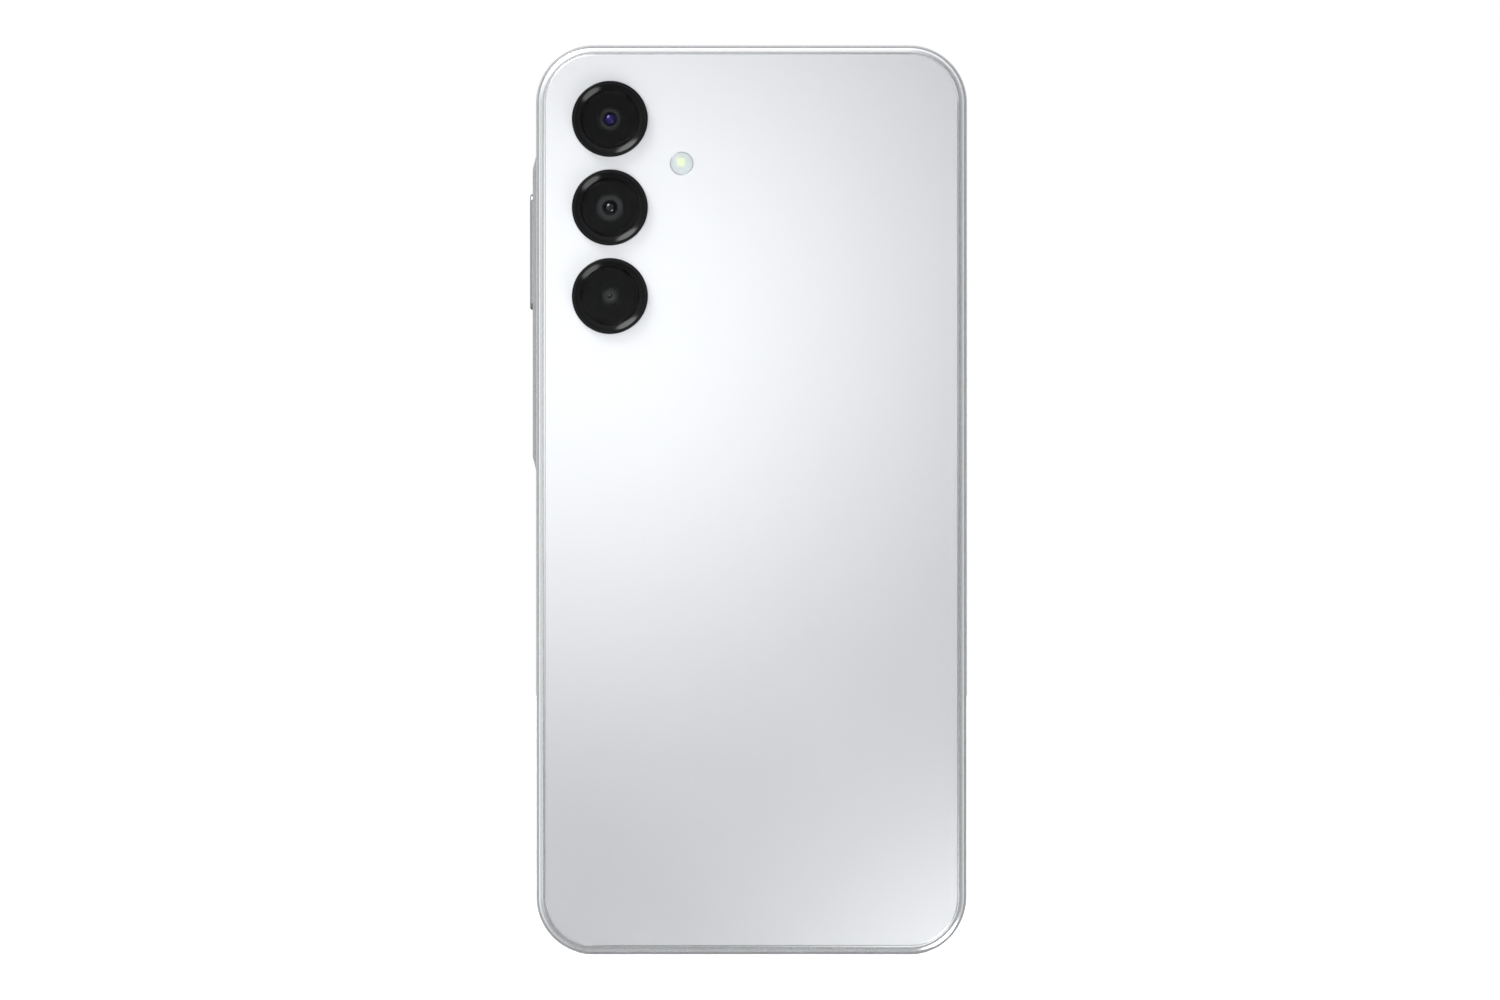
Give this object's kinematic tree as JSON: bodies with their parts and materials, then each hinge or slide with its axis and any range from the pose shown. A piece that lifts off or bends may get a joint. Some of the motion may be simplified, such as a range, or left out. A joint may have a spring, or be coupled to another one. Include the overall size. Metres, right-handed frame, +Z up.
{
  "type": "smartphone",
  "caption": "Slab smartphone with a flat silver back, a vertical row of raised lens rings beside a flash, a raised key island on one side and a card tray on the other.",
  "frame": {"origin": "middle of the flat bottom edge, in the middle of the side frame's thickness", "axes": "+Z up along the phone to the earpiece end, -Y out of the display, +Y out of the back cover, +X towards the side with the keys"},
  "size_m": [0.079, 0.0096, 0.1644],
  "materials": {
    "frame_plastic": "satin silver paint on moulded polycarbonate",
    "cover_plastic": "pearl silver coating under clear glossy polycarbonate",
    "front_glass": "toughened glass with printed black border",
    "lens_ring": "black anodised, polished",
    "camera_glass": "coated glass with black mask underneath",
    "flash_lens": "frosted diffusing lens",
    "key_plastic": "satin silver",
    "sensor_key": "silver satin lacquer over the sensor",
    "silicone": "matt grey",
    "stainless": "stainless sheet, satin",
    "nickel": "nickel-plated steel",
    "black_plastic": "glass-filled polyamide, fine grain",
    "display": "display stack, switched off",
    "foam_tape": "black foam tape",
    "graphite": "graphite foil",
    "mid_plate": "cast, satin",
    "flex": "amber polyimide film",
    "battery_foil": "laminated pouch foil",
    "circuit_board": "green solder mask on glass fibre",
    "chip": "moulded package",
    "copper": "copper",
    "magnet": "nickel-plated magnet and yoke",
    "speaker_film": "moulded polymer film",
    "tungsten": "sintered tungsten weight",
    "cable_jacket": "fluoropolymer jacket",
    "led_phosphor": "yellow phosphor on a white ceramic base"
  },
  "bodies": {
    "phone_body": {"side_frame": "frame_plastic", "back_cover": "cover_plastic", "cover_adhesive": "foam_tape", "front_glass": "front_glass", "display_panel": "display", "display_adhesive": "foam_tape", "graphite_sheet": "graphite", "display_flex": "flex", "mid_plate": "mid_plate", "side_key_flex": "flex", "key_domes": "stainless", "flash_window": "flash_lens", "flash_led": "led_phosphor", "front_camera_housing": "black_plastic", "front_camera_lens": "camera_glass", "main_board": "circuit_board", "sub_board": "circuit_board", "processor_shield": "nickel", "radio_shield": "nickel", "processor_chip": "chip", "board_connectors": "black_plastic", "microphones": "nickel", "main_flex": "flex", "coax_cable": "cable_jacket", "upper_bracket": "black_plastic", "nfc_coil": "copper", "loudspeaker_case": "black_plastic", "bracket_screws": "nickel", "loudspeaker_magnet": "magnet", "loudspeaker_mesh": "stainless", "earpiece_case": "black_plastic", "earpiece_magnet": "magnet", "earpiece_mesh": "stainless", "motor_can": "nickel", "battery_cell": "battery_foil", "battery_board": "flex", "sim_socket": "nickel", "usb_c_shell": "nickel", "usb_c_tongue": "black_plastic", "camera_ring_upper": "lens_ring", "camera_window_upper": "camera_glass", "camera_ring_middle": "lens_ring", "camera_window_middle": "camera_glass", "camera_ring_lower": "lens_ring", "camera_window_lower": "camera_glass", "wide_camera_housing": "black_plastic", "wide_camera_lens": "camera_glass", "main_camera_housing": "black_plastic", "macro_camera_housing": "black_plastic", "macro_camera_lens": "camera_glass"},
    "volume_rocker": {"volume_key": "key_plastic"},
    "power_button": {"power_key": "sensor_key"},
    "card_tray": {"sim_tray": "key_plastic", "sim_tray_gasket": "silicone"},
    "eject_pushrod": {"eject_rod": "stainless"},
    "eject_arm": {"eject_lever": "stainless"},
    "vibration_rotor": {"motor_rotor": "tungsten"},
    "focus_barrel": {"main_camera_lens": "camera_glass"},
    "speaker_cone": {"loudspeaker_diaphragm": "speaker_film"},
    "earpiece_cone": {"earpiece_diaphragm": "speaker_film"}
  },
  "joints": [
    {"name": "volume_rock", "type": "hinge", "parent": "phone_body", "child": "volume_rocker", "pos_m": [0.03625, -0.00035, 0.1271], "axis": [0, 1, 0], "range_deg": [-1.3, 1.3], "stiffness_Nm_per_rad": 0.7},
    {"name": "power_press", "type": "slide", "parent": "phone_body", "child": "power_button", "axis": [-1, 0, 0], "range_m": [0, 0.00025], "stiffness_N_per_m": 6000},
    {"name": "tray_slide", "type": "slide", "parent": "phone_body", "child": "card_tray", "axis": [-1, 0, 0], "range_m": [0, 0.0295]},
    {"name": "eject_push", "type": "slide", "parent": "phone_body", "child": "eject_pushrod", "axis": [1, 0, 0], "range_m": [0, 0.0014]},
    {"name": "eject_swing", "type": "hinge", "parent": "phone_body", "child": "eject_arm", "pos_m": [-0.0062, 0.00035, 0.1395], "axis": [0, 1, 0], "range_deg": [0, 19.7]},
    {"name": "rotor_spin", "type": "hinge", "parent": "phone_body", "child": "vibration_rotor", "pos_m": [0.024, 0, 0.0125], "axis": [0, 1, 0], "continuous": true},
    {"name": "focus_travel", "type": "slide", "parent": "phone_body", "child": "focus_barrel", "axis": [0, 1, 0], "range_m": [0, 0.0003], "stiffness_N_per_m": 60},
    {"name": "cone_travel", "type": "slide", "parent": "phone_body", "child": "speaker_cone", "axis": [0, 1, 0], "range_m": [-0.0003, 0.0003], "stiffness_N_per_m": 500},
    {"name": "earpiece_travel", "type": "slide", "parent": "phone_body", "child": "earpiece_cone", "axis": [0, 1, 0], "range_m": [-0.00015, 0.00015], "stiffness_N_per_m": 500}
  ],
  "couplings": [
    {"joint": "eject_swing", "follows": "eject_push", "rad_per_m": 244}
  ]
}
